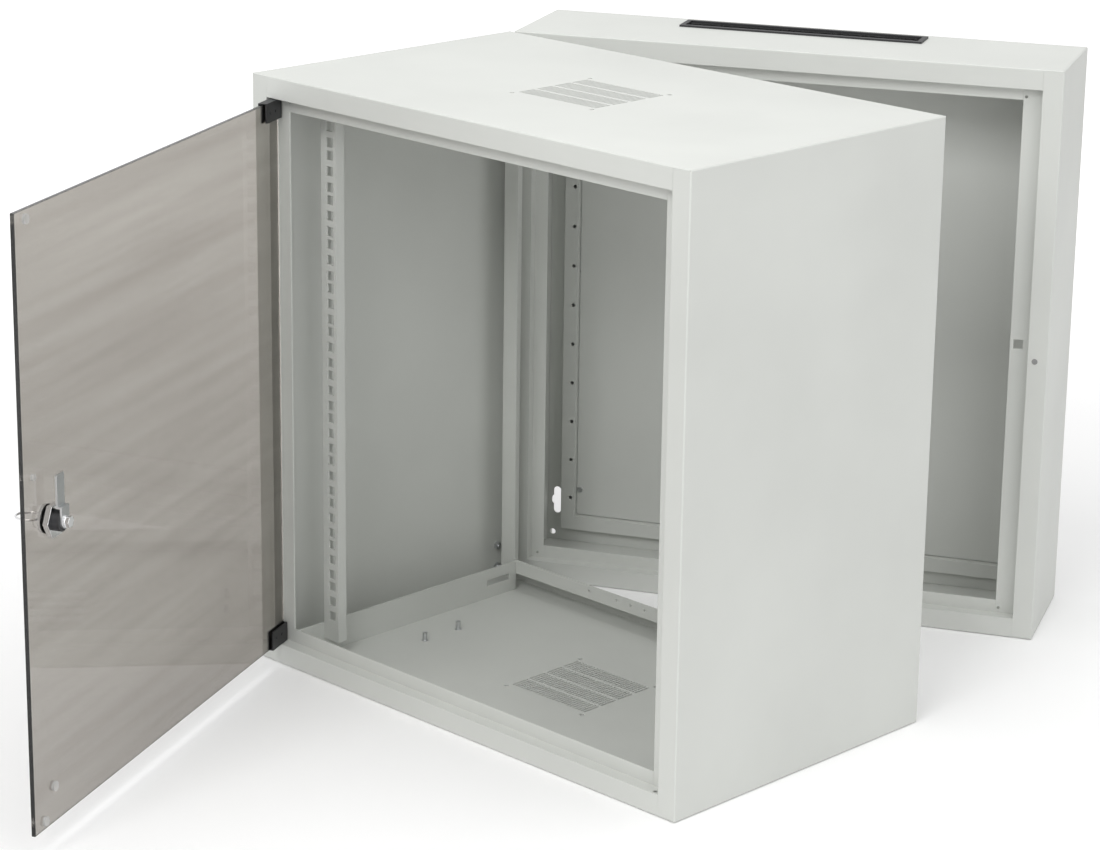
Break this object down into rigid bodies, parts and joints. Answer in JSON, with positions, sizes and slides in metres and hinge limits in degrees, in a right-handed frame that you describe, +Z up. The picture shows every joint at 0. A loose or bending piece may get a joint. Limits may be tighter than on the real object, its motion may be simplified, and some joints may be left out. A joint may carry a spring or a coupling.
{
  "type": "wall rack cabinet",
  "caption": "Wall-mounted rack cabinet in two sections, with a swinging front section, mounting rails and a lockable glass door.",
  "frame": {"origin": "on the wall plane, at the middle of the cabinet's lower edge", "axes": "+X to the right as seen from the front, +Y towards the wall, +Z up"},
  "size_m": [0.7545, 0.9752, 0.602],
  "materials": {
    "powder_coat": "matte",
    "black_metal": "satin",
    "black_plastic": "matte",
    "bristle": "matte",
    "zinc_steel": "satin",
    "chrome": "polished",
    "tinted_glass": "polished",
    "soft_rubber": "matte",
    "clear_bumper": "gloss"
  },
  "bodies": {
    "wall_section": {"wall_left_panel": "powder_coat", "wall_right_panel": "powder_coat", "wall_top_panel": "powder_coat", "wall_bottom_panel": "powder_coat", "brush_holder": "black_plastic", "brush_bristles": "bristle", "back_tray": "powder_coat", "back_frame": "powder_coat", "back_cover": "powder_coat", "cover_screws": "zinc_steel", "flange_bumper": "clear_bumper", "hinge_wall_leaves": "zinc_steel", "hinge_pins": "zinc_steel", "hinge_wall_bolts": "zinc_steel"},
    "front_section": {"front_left_panel": "powder_coat", "front_right_panel": "powder_coat", "front_top_panel": "powder_coat", "front_bottom_panel": "powder_coat", "hinge_front_leaves": "zinc_steel", "hinge_front_bolts": "zinc_steel", "rail_left": "powder_coat", "rail_right": "powder_coat", "runner_lower_left": "powder_coat", "runner_upper_left": "powder_coat", "runner_lower_right": "powder_coat", "runner_upper_right": "powder_coat", "rail_screws": "zinc_steel", "ground_studs": "zinc_steel", "tie_bush": "zinc_steel"},
    "door": {"door_glass": "tinted_glass", "hinge_clip_upper": "black_metal", "hinge_clip_lower": "black_metal", "door_pivot_pins": "zinc_steel", "clip_pads": "soft_rubber", "clip_screws": "black_metal", "door_bumpers": "clear_bumper", "lock_barrel": "black_metal", "lock_bezel": "chrome", "lock_gaskets": "soft_rubber", "lock_nut": "chrome"},
    "lock_plug": {"lock_plug": "chrome", "lock_cam": "zinc_steel", "cam_bolt": "chrome"},
    "key": {"door_key": "chrome"},
    "tie_screw": {"tie_screw": "zinc_steel"}
  },
  "joints": [
    {"name": "swing_hinge", "type": "hinge", "parent": "wall_section", "child": "front_section", "pos_m": [-0.2908, -0.134, 0.3], "axis": [0, 0, -1], "range_deg": [-26.8, 73.2]},
    {"name": "door_hinge", "type": "hinge", "parent": "front_section", "child": "door", "pos_m": [-0.42112, -0.46141, 0.3], "axis": [0, 0, -1], "range_deg": [-65, 40]},
    {"name": "lock_turn", "type": "hinge", "parent": "door", "child": "lock_plug", "pos_m": [-0.43888, -0.93108, 0.3], "axis": [0.9995, -0.0314, 0], "range_deg": [0, 90]},
    {"name": "key_pull", "type": "slide", "parent": "lock_plug", "child": "key", "axis": [-0.9995, 0.0314, 0], "range_m": [0, 0.022]},
    {"name": "tie_screw_slide", "type": "slide", "parent": "front_section", "child": "tie_screw", "axis": [0.4509, 0.8926, 0], "range_m": [0, 0.025]}
  ]
}
